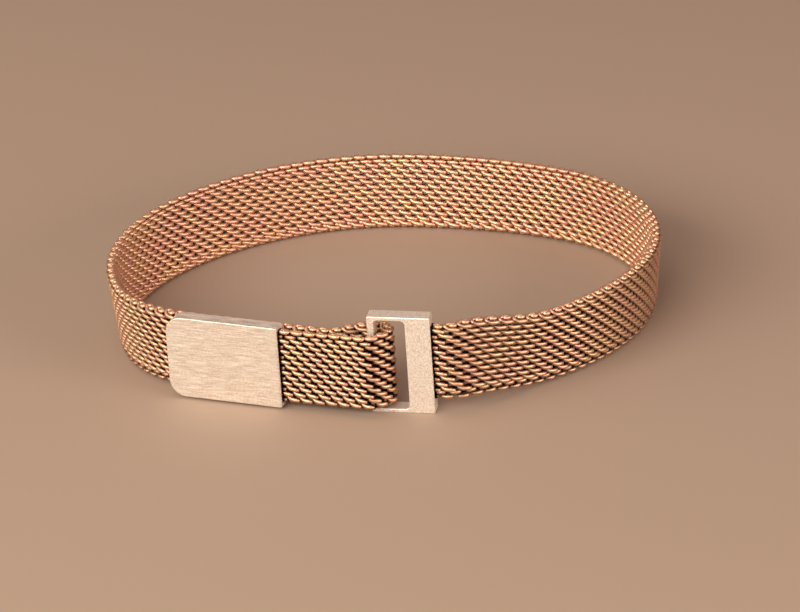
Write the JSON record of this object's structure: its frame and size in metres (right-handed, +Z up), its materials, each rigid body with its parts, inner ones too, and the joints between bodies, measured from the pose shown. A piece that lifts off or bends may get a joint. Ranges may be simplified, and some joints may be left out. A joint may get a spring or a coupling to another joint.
{
  "type": "mesh bracelet",
  "caption": "Woven steel mesh bracelet, fastened in a loop: the strap folds back through a slim frame and ends in a flat magnetic plate.",
  "frame": {"origin": "on the surface that the bracelet stands on, under the middle of the loop", "axes": "+X along the long way of the loop, the clasp faces -Y, +Z up across the strap's width"},
  "size_m": [0.0712, 0.0576, 0.0132],
  "materials": {
    "mesh": "woven wire, rose gold plated",
    "plate": "fine lengthwise brushing, rose gold plated",
    "frame": "fine matte, rose gold plated"
  },
  "bodies": {
    "root": {"mesh_band": "mesh", "end_plate": "plate", "clasp_frame": "frame"}
  },
  "joints": []
}
